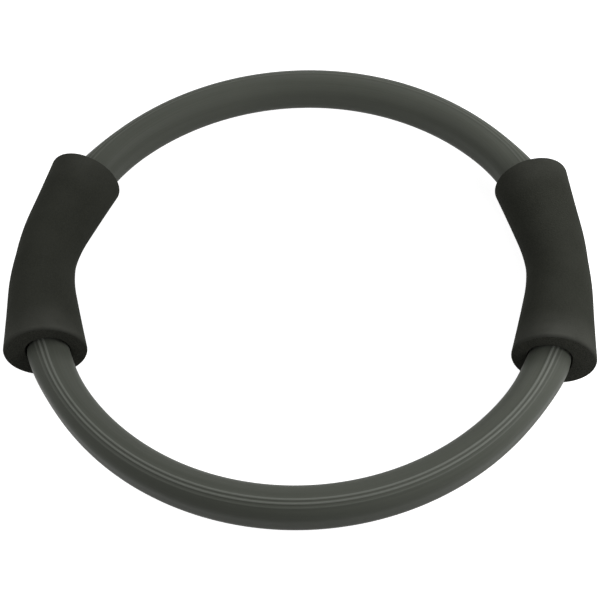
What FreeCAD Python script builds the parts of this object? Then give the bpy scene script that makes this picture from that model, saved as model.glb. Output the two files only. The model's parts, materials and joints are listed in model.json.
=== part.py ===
import FreeCAD, Part
import math
import os

# A squeeze ring for pilates. Two fibreglass leaves make a sprung hoop, which is spliced with riveted
# plates at two places, runs inside a rubber cover and carries a foam grip over each splice.
# Millimetres. Z is the ring's axis, the grips lie on X, and the floor is at Z = 0.

# Hoop cover: a rubber extrusion with a rounded oblong section
hoop_diameter = 361.5        # across the outside of the cover
cover_width = 22.9           # across the ring's wall
cover_height = 28.2          # along the ring's axis
cover_corner = 10.8
least_flat = 0.2             # straight left between two corners of a section
cover_wall = 2.4
cover_butt_gap = 0.6         # between the ends of the two covers, inside each grip
keel_thickness = 1.6         # inner webs that hold the leaves upright
keel_spacing = 11.0
keel_clearance = 0.2
keel_relief = 40.0           # length of cover without webs at each end, where the splice lies

# Spring leaves
leaf_thickness = 2.6
leaf_height = 20.0
leaf_clearance = 0.1
leaf_butt_gap = 1.0

# Splices: a plate on each side of the leaves, and a row of rivets through all of them
plate_thickness = 1.5
plate_height = 18.0
plate_length = 56.0
plate_clearance = 0.1
rivets_per_half = 2
rivet_pitch = 12.0
rivet_first = 8.0            # from the butt of the leaves to the first rivet
rivet_diameter = 4.0
rivet_head_diameter = 7.6
rivet_head_height = 1.4
rivet_head_round = 0.9
rivet_clearance = 0.1

# Tape band round the butt of the covers
band_length = 36.0
band_thickness = 0.5
band_clearance = 0.1

# Foam grips: tubes with a narrow waist, each bent a little to follow the hoop
grip_length = 146.4
grip_waist_diameter = 40.0
grip_end_diameter = 51.6
grip_rim_radius = 2.0
grip_flare_power = 1.31
grip_set_back_deg = 2.35     # each grip lies this far behind the ring's diameter
bore_side_gap = 2.4
bore_top_gap = 3.6           # the hoop lies low in the loose bores of the grips
hoop_drop = 2.9              # from the middle of the grips down to the middle of the hoop
seat_clearance = 0.2
foot_flat_depth = 0.5
left_inset = 0.4             # the waist's middle lies this far inside the hoop's middle line
left_bend_deg = 27.4
left_bend_share = 0.422      # part of the grip's length that takes the bend
left_face_shares = (1.0, 0.8)    # part of the bend that the rear and the front end face lean with
right_inset = 3.2
right_bend_deg = 19.8
right_bend_share = 0.40
right_face_shares = (1.0, 1.0)   # the same for its front and rear end face
grip_station_shares = (-1.0, -0.75, -0.5, -0.25, 0.0, 0.25, 0.5, 0.75, 1.0)

cut_overrun = 1.0

# Places that follow from the sizes
hoop_radius = (hoop_diameter - cover_width) / 2
left_reach = hoop_radius - left_inset
right_reach = hoop_radius - right_inset
left_azimuth = 180.0 - grip_set_back_deg
right_azimuth = grip_set_back_deg
axis_origin = FreeCAD.Vector(0, 0, 0)
axis_up = FreeCAD.Vector(0, 0, 1)


def arc_degrees(length, radius):
    """Angle that a length takes up on a circle about the ring's axis."""
    return math.degrees(length / radius)


def section_wire(width, height, corner, radius, level):
    """Rounded oblong in the XZ plane, centred at a radius and a level."""
    half_w = width / 2
    half_h = height / 2
    corner = min(corner, half_w - least_flat / 2, half_h - least_flat / 2)
    bow = corner * (1 - math.sqrt(0.5))

    def at(x, z):
        return FreeCAD.Vector(radius + x, 0, level + z)

    edges = []
    for side_x, side_z in ((1, 1), (-1, 1), (-1, -1), (1, -1)):
        upright = at(side_x * half_w, side_z * (half_h - corner))
        middle = at(side_x * (half_w - bow), side_z * (half_h - bow))
        flat = at(side_x * (half_w - corner), side_z * half_h)
        ends = (upright, flat) if side_x == side_z else (flat, upright)
        edges.append(Part.Arc(ends[0], middle, ends[1]).toShape())
    for first, second in zip(list(edges), edges[1:] + edges[:1]):
        start = first.Vertexes[-1].Point
        end = second.Vertexes[0].Point
        edges.append(Part.LineSegment(start, end).toShape())
    return Part.Wire(Part.__sortEdges__(edges))


def oblong_wire(width, height, radius, level):
    """Square-cornered oblong in the XZ plane, centred at a radius and a level."""
    half_w = width / 2
    half_h = height / 2
    corners = ((-1, -1), (1, -1), (1, 1), (-1, 1), (-1, -1))
    points = [FreeCAD.Vector(radius + x * half_w, 0, level + z * half_h) for x, z in corners]
    return Part.makePolygon(points)


def swept(face, start_deg, sweep_deg):
    """Turns a face in the XZ plane about the ring's axis, from one azimuth through an angle."""
    placed = face.copy()
    placed.rotate(axis_origin, axis_up, start_deg)
    return placed.revolve(axis_origin, axis_up, sweep_deg)


def half_span(name, gap, radius):
    """Start and sweep of the front or the rear half of the hoop, less half a gap at each end."""
    trim = arc_degrees(gap, radius) / 2
    if name == "front":
        start, end = left_azimuth, right_azimuth + 360.0
    else:
        start, end = right_azimuth, left_azimuth
    return start + trim, end - start - 2 * trim


def grip_axis(reach, bend_deg, bend_share, along):
    """Point and heading of a grip's middle line, with the waist on X and the line along Y."""
    bend = math.radians(bend_deg)
    arc_length = bend_share * grip_length
    arc_radius = arc_length / bend
    on_arc = max(-arc_length / 2, min(arc_length / 2, along))
    heading = on_arc / arc_radius
    straight = along - on_arc
    x = reach - arc_radius * (1 - math.cos(heading)) - straight * math.sin(heading)
    y = arc_radius * math.sin(heading) + straight * math.cos(heading)
    return FreeCAD.Vector(x, y, 0), heading


def round_section(centre, heading, radius):
    """Circle across a grip's middle line, in four quarter arcs."""
    outward = FreeCAD.Vector(math.cos(heading), math.sin(heading), 0)

    def at(turn_deg):
        turn = math.radians(turn_deg)
        return centre + outward * (radius * math.cos(turn)) + axis_up * (radius * math.sin(turn))

    quarter = 90.0
    arcs = []
    for index in range(4):
        start = index * quarter
        arcs.append(Part.Arc(at(start), at(start + quarter / 2), at(start + quarter)).toShape())
    return Part.Wire(arcs)


def grip_body(reach, bend_deg, bend_share, face_shares):
    """Waisted foam body with rounded rims, centred on Z = 0 and lying along Y."""
    half_length = grip_length / 2
    flare = (grip_end_diameter - grip_waist_diameter) / 2
    sections = []
    for share in grip_station_shares:
        centre, heading = grip_axis(reach, bend_deg, bend_share, share * half_length)
        radius = grip_waist_diameter / 2 + flare * abs(share) ** grip_flare_power
        face_share = face_shares[0] if share < 0 else face_shares[1]
        sections.append(round_section(centre, face_share * heading, radius))
    body = Part.makeLoft(sections, True, False)
    end_faces = [face for face in body.Faces if isinstance(face.Surface, Part.Plane)]
    rims = [edge for face in end_faces for edge in face.Edges]
    return body.makeFillet(grip_rim_radius, rims)


def depth_below_axis(body):
    """How far a grip's body reaches below its middle line, measured from a plane under it."""
    span = 2 * hoop_diameter
    corner = FreeCAD.Vector(-span / 2, -span / 2, -grip_end_diameter)
    plane = Part.makePlane(span, span, corner)
    return grip_end_diameter - body.distToShape(plane)[0]


def grip(body, azimuth, level, hoop_level):
    """Foam body turned to its place, bored for the hoop and cut flat where it stands."""
    placed = body.copy()
    placed.translate(FreeCAD.Vector(0, 0, level))
    placed.rotate(axis_origin, axis_up, azimuth)
    lowest = hoop_level - cover_height / 2 - band_clearance - band_thickness - seat_clearance
    highest = hoop_level + cover_height / 2 + bore_top_gap
    bore_width = cover_width + 2 * bore_side_gap
    bore_corner = cover_corner + bore_side_gap
    bore_middle = (lowest + highest) / 2
    bore_wire = section_wire(bore_width, highest - lowest, bore_corner, hoop_radius, bore_middle)
    bore_face = Part.Face(bore_wire)
    reach_deg = arc_degrees(grip_length, hoop_radius)
    bored = placed.cut(swept(bore_face, azimuth - reach_deg, 2 * reach_deg))
    box = bored.BoundBox
    floor_cut = Part.makeBox(
        box.XLength + 2 * cut_overrun,
        box.YLength + 2 * cut_overrun,
        grip_end_diameter,
        FreeCAD.Vector(box.XMin - cut_overrun, box.YMin - cut_overrun, -grip_end_diameter),
    )
    return bored.cut(floor_cut)


def leaf_offset(name):
    """How far a leaf's middle lies outside the hoop's middle line."""
    step = (leaf_thickness + leaf_clearance) / 2
    return step if name == "outer" else -step


def plate_offset(name):
    """How far a plate's middle lies outside the hoop's middle line."""
    stack = leaf_thickness + leaf_clearance / 2
    step = stack + plate_clearance + plate_thickness / 2
    return step if name == "outer" else -step


def rivet_azimuths():
    """Places of a splice's rivets as angles from its middle."""
    places = []
    for index in range(rivets_per_half):
        offset = arc_degrees(rivet_first + index * rivet_pitch, hoop_radius)
        places += [-offset, offset]
    return places


def rivet_bore(azimuth, level):
    """Rods for the rivet holes of one splice."""
    length = cover_width
    rods = []
    for offset in rivet_azimuths():
        rod = Part.makeCylinder(
            rivet_diameter / 2 + rivet_clearance,
            length,
            FreeCAD.Vector(hoop_radius - length / 2, 0, level),
            FreeCAD.Vector(1, 0, 0),
        )
        rod.rotate(axis_origin, axis_up, azimuth + offset)
        rods.append(rod)
    return Part.makeCompound(rods)


def rivet(level):
    """One rivet with a low rounded head at each end, lying on X."""
    half_grip = plate_offset("outer") + plate_thickness / 2 + rivet_clearance
    along = FreeCAD.Vector(1, 0, 0)
    seat = FreeCAD.Vector(hoop_radius, 0, level)
    solid = Part.makeCylinder(rivet_diameter / 2, 2 * half_grip, seat - along * half_grip, along)
    for way in (-1, 1):
        head = Part.makeCylinder(rivet_head_diameter / 2, rivet_head_height, axis_origin, along * way)
        crown = [edge for edge in head.Edges if edge.BoundBox.XLength < edge.BoundBox.YLength]
        crown = [edge for edge in crown if abs(edge.CenterOfMass.x) > rivet_head_height / 2]
        head = head.makeFillet(rivet_head_round, crown)
        head.translate(seat + along * (way * half_grip))
        solid = solid.fuse(head)
    return solid.removeSplitter()


def cover(name, level):
    """Half of the rubber cover: a tube with inner webs that stop short of its ends."""
    outer = section_wire(cover_width, cover_height, cover_corner, hoop_radius, level)
    inner_width = cover_width - 2 * cover_wall
    inner_height = cover_height - 2 * cover_wall
    inner = section_wire(inner_width, inner_height, cover_corner - cover_wall, hoop_radius, level)
    tube_face = Part.Face(outer).cut(Part.Face(inner)).Faces[0]
    start, sweep = half_span(name, cover_butt_gap, hoop_radius)
    body = swept(tube_face, start, sweep)
    relief = arc_degrees(keel_relief, hoop_radius)
    root = cover_width / 2 - cover_wall / 2
    tip = leaf_thickness + leaf_clearance / 2 + keel_clearance
    webs = []
    for side in (-1, 1):
        for end in (-1, 1):
            web_face = Part.Face(
                oblong_wire(
                    root - tip,
                    keel_thickness,
                    hoop_radius + side * (root + tip) / 2,
                    level + end * keel_spacing / 2,
                )
            )
            webs.append(swept(web_face, start + relief, sweep - 2 * relief))
    return body.fuse(webs).removeSplitter()


def leaf(name, layer, level, rivet_holes):
    """Half of one spring leaf, drilled at both ends."""
    radius = hoop_radius + leaf_offset(layer)
    face = Part.Face(oblong_wire(leaf_thickness, leaf_height, radius, level))
    start, sweep = half_span(name, leaf_butt_gap, radius)
    return swept(face, start, sweep).cut(rivet_holes)


def splice_plate(layer, azimuth, level):
    """Curved steel plate that bridges the butt of the leaves."""
    radius = hoop_radius + plate_offset(layer)
    face = Part.Face(oblong_wire(plate_thickness, plate_height, radius, level))
    sweep = arc_degrees(plate_length, radius)
    return swept(face, azimuth - sweep / 2, sweep).cut(rivet_bore(azimuth, level))


def rivet_set(azimuth, level):
    """All rivets of one splice."""
    rivets = []
    for offset in rivet_azimuths():
        placed = rivet(level)
        placed.rotate(axis_origin, axis_up, azimuth + offset)
        rivets.append(placed)
    return Part.makeCompound(rivets)


def joint_band(azimuth, level):
    """Tape band round the butt of the two covers."""
    inside = section_wire(
        cover_width + 2 * band_clearance,
        cover_height + 2 * band_clearance,
        cover_corner + band_clearance,
        hoop_radius,
        level,
    )
    outside = section_wire(
        cover_width + 2 * (band_clearance + band_thickness),
        cover_height + 2 * (band_clearance + band_thickness),
        cover_corner + band_clearance + band_thickness,
        hoop_radius,
        level,
    )
    face = Part.Face(outside).cut(Part.Face(inside)).Faces[0]
    sweep = arc_degrees(band_length, hoop_radius)
    return swept(face, azimuth - sweep / 2, sweep)


def build():
    """Makes every piece of the ring, by name."""
    bodies = {
        "left": grip_body(left_reach, left_bend_deg, left_bend_share, left_face_shares),
        "right": grip_body(right_reach, right_bend_deg, right_bend_share, right_face_shares),
    }
    azimuths = {"left": left_azimuth, "right": right_azimuth}
    grip_level = max(depth_below_axis(body) for body in bodies.values()) - foot_flat_depth
    hoop_level = grip_level - hoop_drop
    holes = Part.makeCompound([rivet_bore(azimuth, hoop_level) for azimuth in azimuths.values()])
    pieces = {}
    for name in ("front", "rear"):
        pieces[name + "_cover"] = cover(name, hoop_level)
        for layer in ("outer", "inner"):
            pieces[name + "_" + layer + "_leaf"] = leaf(name, layer, hoop_level, holes)
    for side, azimuth in azimuths.items():
        for layer in ("outer", "inner"):
            pieces[side + "_" + layer + "_splice_plate"] = splice_plate(layer, azimuth, hoop_level)
        pieces[side + "_splice_rivets"] = rivet_set(azimuth, hoop_level)
        pieces[side + "_joint_band"] = joint_band(azimuth, hoop_level)
        pieces[side + "_grip"] = grip(bodies[side], azimuth, grip_level, hoop_level)
    return pieces


os.makedirs("parts", exist_ok=True)
for node, shape in build().items():
    print(node, "solids", len(shape.Solids), "valid", shape.isValid(), "volume", round(shape.Volume))
    shape.exportStep("parts/" + node + ".step")
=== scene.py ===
"""The looks of a squeeze ring for pilates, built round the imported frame.

The ribbed cover of the hoop, the foam grips, the spring leaves and the tape bands are modelled here. The
splice plates and their rivets come from the frame and get a finish. Lengths are in metres.
"""
import json
import logging
import math
from collections.abc import Sequence
from dataclasses import dataclass
from enum import Enum

import bmesh
import bpy
from mathutils import Matrix, Vector


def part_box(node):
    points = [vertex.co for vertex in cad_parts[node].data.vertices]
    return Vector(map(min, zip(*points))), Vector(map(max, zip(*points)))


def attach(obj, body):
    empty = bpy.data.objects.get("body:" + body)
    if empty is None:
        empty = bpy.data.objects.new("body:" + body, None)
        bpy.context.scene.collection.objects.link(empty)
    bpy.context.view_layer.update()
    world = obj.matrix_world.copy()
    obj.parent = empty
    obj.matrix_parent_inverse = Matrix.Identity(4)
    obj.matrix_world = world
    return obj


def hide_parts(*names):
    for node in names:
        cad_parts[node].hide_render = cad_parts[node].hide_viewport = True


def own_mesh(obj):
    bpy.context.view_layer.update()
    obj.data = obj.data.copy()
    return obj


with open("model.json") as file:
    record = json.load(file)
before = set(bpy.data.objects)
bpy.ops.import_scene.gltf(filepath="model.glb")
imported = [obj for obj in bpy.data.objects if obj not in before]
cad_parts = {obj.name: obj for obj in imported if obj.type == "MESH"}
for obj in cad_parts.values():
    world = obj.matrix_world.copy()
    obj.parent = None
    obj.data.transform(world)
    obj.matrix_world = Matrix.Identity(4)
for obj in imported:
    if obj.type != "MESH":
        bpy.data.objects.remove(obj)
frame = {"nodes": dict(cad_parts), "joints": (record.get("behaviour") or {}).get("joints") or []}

Colour = tuple[float, float, float]
Pair = tuple[float, float]
Loop = list[bmesh.types.BMVert]
Socket = bpy.types.NodeSocket

LOG = logging.getLogger("squeeze_ring")
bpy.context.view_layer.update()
FULL_TURN = 2 * math.pi
QUARTER_TURN = math.pi / 2
UNWRAP = "along_and_round"
STAND = "rib_stand"
TRAVEL = "travel"
OUTSIDE = "outside"
# Vertex value that holds the painted highlight on top near the grips' rims
RIM_HIGHLIGHT = "painted_rim_highlight"
TINY = 1e-6
CORNER_STEPS = 3
BAND_CORNER_STEPS = 8
BEVEL_STEPS = 8
DRILL_STEPS = 32
# Angle of the wave texture for each unit of length, at a scale of 1
WAVE_TURN = 20.0


class Side(Enum):
    """The two ends of the diameter that is squeezed."""

    LEFT = "left"
    RIGHT = "right"


class Half(Enum):
    """The two stretches of hoop between the grips."""

    FRONT = "front"
    REAR = "rear"


class Layer(Enum):
    """The two leaves of the spring, or the two plates of a splice."""

    OUTER = "outer"
    INNER = "inner"


class FoamFace(Enum):
    """The two kinds of face on a grip, as the number of their material."""

    SKIN = 0
    CUT = 1


# Shapes that the pieces share


@dataclass(frozen=True)
class Oblong:
    """A rounded oblong, the form of the hoop's section.

    Attributes:
        width: Size across the wall of the ring.
        height: Size along the axis of the ring.
        corner: Radius of the four corners.
    """

    width: float
    height: float
    corner: float

    @property
    def flat(self) -> float:
        """Half of the straight run at the top or the bottom."""
        return self.width / 2 - self.corner

    @property
    def upright(self) -> float:
        """Half of the straight run at each side."""
        return self.height / 2 - self.corner

    @property
    def quarter(self) -> float:
        """Length of the arc at a corner."""
        return QUARTER_TURN * self.corner

    def length(self) -> float:
        """Distance once round the outline."""
        flats = 2 * (self.width + self.height - 4 * self.corner)
        return flats + FULL_TURN * self.corner

    def grown(self, margin: float) -> "Oblong":
        """The outline with every side moved out by a margin."""
        return Oblong(self.width + 2 * margin, self.height + 2 * margin, self.corner + margin)

    def at(self, travel: float) -> tuple[Vector, Vector]:
        """Finds a place on the outline.

        Args:
            travel: Distance round the outline from the middle of its top, towards the outside of the ring.

        Returns:
            The point and its outward normal, each as outward and up.
        """
        core = Vector((0, self.upright))
        turn = 0.0
        left = travel % self.length()
        for run in (self.flat, 2 * self.upright, 2 * self.flat, 2 * self.upright, self.flat):
            step = min(left, run)
            core += Vector((math.cos(turn), -math.sin(turn))) * step
            left -= step
            arc = min(left, self.quarter)
            turn += arc / self.corner
            left -= arc
        normal = Vector((math.sin(turn), math.cos(turn)))
        return core + normal * self.corner, normal

    def corner_stations(self, steps: int) -> list[float]:
        """Distances round the outline that draw its corners, each in a number of steps.

        Args:
            steps: Number of steps in each corner.

        Returns:
            The distances, from the top towards the outside of the ring.
        """
        stations = []
        start = self.flat
        for run in 2 * (2 * self.upright, 2 * self.flat):
            stations += [start + self.quarter * step / steps for step in range(steps + 1)]
            start += self.quarter + run
        return stations


@dataclass(frozen=True)
class HoopLine:
    """The circle that the middle of the hoop's section follows.

    Attributes:
        radius: Radius of the circle.
        level: Height of the circle above the floor.
    """

    radius: float
    level: float

    def place(self, azimuth: float, outward: float, up: float) -> Vector:
        """Point at an azimuth, an outward distance and a height from the circle."""
        reach = self.radius + outward
        return Vector((reach * math.cos(azimuth), reach * math.sin(azimuth), self.level + up))

    def angle(self, length: float) -> float:
        """Angle that a length takes up along the circle."""
        return length / self.radius


@dataclass(frozen=True)
class Span:
    """A stretch of the hoop.

    Attributes:
        start: Azimuth where it begins.
        sweep: Angle that it covers.
    """

    start: float
    sweep: float

    def trimmed(self, angle: float) -> "Span":
        """The stretch with an angle taken off each end."""
        return Span(self.start + angle, self.sweep - 2 * angle)

    def past_start(self, point: Vector) -> float:
        """Angle from the start of the stretch to a point on it."""
        past = (math.atan2(point.y, point.x) - self.start) % FULL_TURN
        return past if past < (FULL_TURN + self.sweep) / 2 else past - FULL_TURN

    def steps(self, line: HoopLine, chord: float) -> int:
        """Number of chords of about a given length along the stretch."""
        return max(1, round(self.sweep * line.radius / chord))


@dataclass(frozen=True)
class Squeeze:
    """The motion of the ring, in which both grips come in; its pieces hang from the bodies of the hoop and
    the handles.

    Attributes:
        travel: How far each grip comes in.
        radius: Distance of each splice from the axis of the ring.
    """

    travel: float
    radius: float

    def narrow_hoop(self, piece: bpy.types.Object) -> None:
        """Hangs a piece of the hoop from the hoop's body and gives it a mesh of its own."""
        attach(piece, "hoop")
        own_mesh(piece)

    def narrow_handle(self, piece: bpy.types.Object, side: Side) -> None:
        """Hangs a piece of a handle from that handle's body, so that it travels with it, and gives it a
        mesh of its own.

        Args:
            piece: The piece.
            side: Which handle it belongs to.
        """
        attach(piece, side.value + "_handle")
        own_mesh(piece)


@dataclass(frozen=True)
class Swell:
    """Widening of the hoop's cover where it comes out of a grip, with a slight turn of its ribs.

    Attributes:
        mouth: Distance from the middle of the splice to the mouth of the grip.
        growth: Share of the width that is added at the mouth.
        rib_turn: How far the ribs move round the section at the mouth, towards the inside of the ring.
        reach_out: Distance over which both fade outside the grip.
        reach_in: Distance over which both fade inside the grip.
    """

    mouth: float
    growth: float = 0.145
    rib_turn: float = 0.0015
    reach_out: float = 0.025
    reach_in: float = 0.006

    def strength(self, from_splice: float) -> float:
        """Strength from 0 to 1 at a distance from the middle of the nearest splice.

        Args:
            from_splice: The distance, along the hoop.

        Returns:
            The strength, which is 1 at the mouth of the grip.
        """
        past = from_splice - self.mouth
        reach = self.reach_out if past > 0 else self.reach_in
        return math.exp(-((past / reach) ** 2))


def loop_of(bm: bmesh.types.BMesh, points: list[Vector]) -> Loop:
    """Draws a closed loop of edges through points.

    Args:
        bm: Mesh to draw in.
        points: Corners of the loop, in order.

    Returns:
        The new vertices, in the same order.
    """
    ring = bmesh.ops.create_circle(bm, cap_ends=False, segments=len(points), radius=1.0)["verts"]
    for vert, point in zip(ring, points):
        vert.co = point
    return ring


def edges_among(verts: Loop) -> list[bmesh.types.BMEdge]:
    """Edges with both ends in a list of vertices.

    Args:
        verts: The vertices.

    Returns:
        The edges, in no order.
    """
    chosen = set(verts)
    found = {edge for vert in verts for edge in vert.link_edges}
    return [edge for edge in found if all(end in chosen for end in edge.verts)]


def spin_loop(bm: bmesh.types.BMesh, ring: Loop, sweep: float, steps: int) -> Loop:
    """Turns a loop about the axis of the ring.

    Args:
        bm: Mesh that holds the loop.
        ring: Vertices of the loop.
        sweep: Angle to turn through.
        steps: Number of steps in the turn.

    Returns:
        The vertices of the last copy of the loop.
    """
    turned = bmesh.ops.spin(
        bm,
        geom=ring + edges_among(ring),
        cent=(0, 0, 0),
        axis=(0, 0, 1),
        angle=sweep,
        steps=steps,
        use_duplicate=False,
    )
    return [item for item in turned["geom_last"] if isinstance(item, bmesh.types.BMVert)]


def close_ends(bm: bmesh.types.BMesh, *ends: Loop) -> None:
    """Fills each loop of vertices with a face."""
    for end in ends:
        bmesh.ops.edgeloop_fill(bm, edges=edges_among(end))


def join_walls(bm: bmesh.types.BMesh, *ends: Loop) -> None:
    """Joins the two loops of vertices at each end of a tube."""
    for end in ends:
        bmesh.ops.bridge_loops(bm, edges=edges_among(end))


def section_loop(
    bm: bmesh.types.BMesh,
    line: HoopLine,
    azimuth: float,
    outline: Oblong,
    stations: Sequence[float],
    offset: Pair = (0.0, 0.0),
    scale: float = 1.0,
) -> Loop:
    """Draws a section of the hoop as a loop whose vertices hold their distance round it.

    Args:
        bm: Mesh to draw in, with a layer for that distance.
        line: Circle of the hoop.
        azimuth: Azimuth of the section.
        outline: Outline of the section.
        stations: Distances round the section.
        offset: How far the middle of the section lies outside the circle and above it.
        scale: Length on the outline for each length between stations.

    Returns:
        The vertices of the loop, in the order of the stations.
    """
    travel = bm.verts.layers.float[TRAVEL]
    outward, up = offset
    points = []
    for station in stations:
        place, _ = outline.at(station * scale)
        points.append(line.place(azimuth, outward + place.x, up + place.y))
    ring = loop_of(bm, points)
    for vert, station in zip(ring, stations):
        vert[travel] = station
    return ring


def unwrap(bm: bmesh.types.BMesh, span: Span, line: HoopLine, length: float) -> None:
    """Gives a strip a UV map in metres: along the hoop and round the section.

    Args:
        bm: Mesh of the strip, whose vertices hold their distance round the section.
        span: Stretch of the hoop that the strip covers.
        line: Circle that the strip follows.
        length: Distance once round the section.
    """
    uv = bm.loops.layers.uv.new(UNWRAP)
    travel = bm.verts.layers.float[TRAVEL]
    for face in bm.faces:
        farthest = max(loop.vert[travel] for loop in face.loops)
        for loop in face.loops:
            across = loop.vert[travel]
            if farthest - across > length / 2:
                across += length
            loop[uv].uv = (span.past_start(loop.vert.co) * line.radius, across)


def strip_mesh(
    bm: bmesh.types.BMesh,
    line: HoopLine,
    outline: Oblong,
    offset: Pair,
    span: Span,
    chord: float,
) -> None:
    """Adds a solid strip that follows the hoop, with closed ends.

    Args:
        bm: Mesh to add it to, with a layer for the distance round a section.
        line: Circle that the strip follows.
        outline: Section of the strip.
        offset: How far the middle of the section lies outside the circle and above it.
        span: Stretch of the hoop that the strip covers.
        chord: Length of the steps along the strip.
    """
    ring = section_loop(bm, line, span.start, outline, outline.corner_stations(CORNER_STEPS), offset)
    last = spin_loop(bm, ring, span.sweep, span.steps(line, chord))
    close_ends(bm, ring, last)


def finish_piece(name: str, bm: bmesh.types.BMesh, materials: list[bpy.types.Material]) -> bpy.types.Object:
    """Makes an object at the origin from a finished bmesh.

    Args:
        name: Name of the piece.
        bm: Mesh of the piece, which is freed.
        materials: Materials in the order of the faces' indices.

    Returns:
        The object, linked to the scene and shaded smooth.
    """
    bmesh.ops.recalc_face_normals(bm, faces=bm.faces[:])
    for face in bm.faces:
        face.smooth = True
    mesh = bpy.data.meshes.new(name)
    bm.to_mesh(mesh)
    bm.free()
    for material in materials:
        mesh.materials.append(material)
    piece = bpy.data.objects.new(name, mesh)
    bpy.context.scene.collection.objects.link(piece)
    LOG.info("made %s with %d faces", name, len(mesh.polygons))
    return piece


# Finishes


class NodeTree:
    """The nodes of a material or of the world."""

    def __init__(self, owner: bpy.types.Material | bpy.types.World) -> None:
        """Starts with the nodes that a new owner has.

        Args:
            owner: The material or the world.
        """
        owner.use_nodes = True
        self.nodes = owner.node_tree.nodes
        self.links = owner.node_tree.links

    def node(self, kind: str, inputs: dict, **settings: object) -> bpy.types.Node:
        """Adds a node.

        Args:
            kind: Type of the node.
            inputs: Value or source socket of each input, by name or number.
            **settings: Values for the node's own properties.

        Returns:
            The new node.
        """
        made = self.nodes.new(kind)
        for key, value in settings.items():
            setattr(made, key, value)
        for key, value in inputs.items():
            if isinstance(value, Socket):
                self.links.new(value, made.inputs[key])
            else:
                made.inputs[key].default_value = value
        return made


@dataclass(frozen=True)
class Grain:
    """One fine pattern of a finish.

    Attributes:
        cells: Cells to the metre, or 1 where the place is stretched already.
        detail: Number of finer layers in cloudy noise.
        band: Values of the pattern between which its colour sets in.
        share: Most of its colour that shows.
        rough_band: Values of the pattern between which the roughness rises.
        depth: Depth of its relief.
        strength: Share of the relief that shows.
    """

    cells: float = 1.0
    detail: float = 3.0
    band: Pair = (0.3, 0.7)
    share: float = 1.0
    rough_band: Pair = (0.3, 0.7)
    depth: float = 0.0
    strength: float = 0.0


class NodeSheet(NodeTree):
    """The nodes of one finish, with its shader in place."""

    def __init__(self, name: str, **constants: float) -> None:
        """Starts a material.

        Args:
            name: Name of the material.
            **constants: Values for the shader's own sockets, with underscores for spaces.
        """
        self.material = bpy.data.materials.new(name)
        super().__init__(self.material)
        self.shader = self.nodes["Principled BSDF"]
        for socket, value in constants.items():
            self.shader.inputs[socket.replace("_", " ")].default_value = value

    def drive(self, socket: str, source: Socket) -> None:
        """Links a source to one of the shader's sockets."""
        self.links.new(source, self.shader.inputs[socket])

    def attribute(self, name: str) -> Socket:
        """A value that the vertices of the piece hold."""
        return self.node("ShaderNodeAttribute", {}, attribute_name=name).outputs["Fac"]

    def place(self) -> Socket:
        """Place on the piece, in metres."""
        return self.node("ShaderNodeTexCoord", {}).outputs["Object"]

    def unwrapped(self, along: float, across: float) -> Socket:
        """Place on the unwrapped strip, with a scale along it and a scale across it."""
        uv = self.node("ShaderNodeUVMap", {}, uv_map=UNWRAP).outputs["UV"]
        return self.stretched(uv, (along, across, 1.0))

    def stretched(self, source: Socket, scale: tuple[float, float, float]) -> Socket:
        """A place with its own scale on each axis."""
        return self.node("ShaderNodeMapping", {"Vector": source, "Scale": scale}).outputs["Vector"]

    def noise(self, place: Socket, grain: Grain) -> Socket:
        """Cloudy noise from 0 to 1."""
        inputs = {"Vector": place, "Scale": grain.cells, "Detail": grain.detail}
        return self.node("ShaderNodeTexNoise", inputs).outputs["Fac"]

    def pores(self, place: Socket, grain: Grain) -> Socket:
        """Distance to the middle of the nearest cell, as a share of a cell's size."""
        inputs = {"Vector": place, "Scale": grain.cells}
        return self.node("ShaderNodeTexVoronoi", inputs).outputs["Distance"]

    def ranged(self, source: Socket, before: Pair, after: Pair) -> Socket:
        """A value moved from one range to another, and held within it."""
        inputs = {0: source, 1: before[0], 2: before[1], 3: after[0], 4: after[1]}
        return self.node("ShaderNodeMapRange", inputs).outputs["Result"]

    def blend(self, share: Socket, first: Colour | Socket, second: Colour) -> Socket:
        """Colour that goes from the first to the second as the share goes from 0 to 1.

        Args:
            share: Share of the second colour.
            first: First colour, or where it comes from.
            second: Second colour.

        Returns:
            The colour.
        """
        start = first if isinstance(first, Socket) else opaque(first)
        inputs = {"Factor": share, 6: start, 7: opaque(second)}
        return self.node("ShaderNodeMix", inputs, data_type="RGBA").outputs[2]

    def mottled(self, pattern: Socket, grain: Grain, first: Colour | Socket, second: Colour) -> Socket:
        """Colour that goes from the first to the second over the band of a pattern."""
        return self.blend(self.ranged(pattern, grain.band, (0.0, grain.share)), first, second)

    def roughen(self, pattern: Socket, grain: Grain, roughness: Pair) -> None:
        """Lets a pattern drive the roughness from its least to its most."""
        self.drive("Roughness", self.ranged(pattern, grain.rough_band, roughness))

    def bumped(self, pattern: Socket, grain: Grain, under: Socket | None = None) -> Socket:
        """Adds the relief of a pattern to the surface.

        Args:
            pattern: Pattern that gives the heights.
            grain: Depth and strength of the relief.
            under: Coarser relief that this one lies on.

        Returns:
            The normal of the relief.
        """
        inputs = {"Height": pattern, "Distance": grain.depth, "Strength": grain.strength}
        if under is not None:
            inputs["Normal"] = under
        return self.node("ShaderNodeBump", inputs).outputs["Normal"]


def opaque(colour: Colour) -> tuple[float, float, float, float]:
    """A colour with full cover."""
    return (*colour, 1.0)


WHITE = opaque((1.0, 1.0, 1.0))


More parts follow.
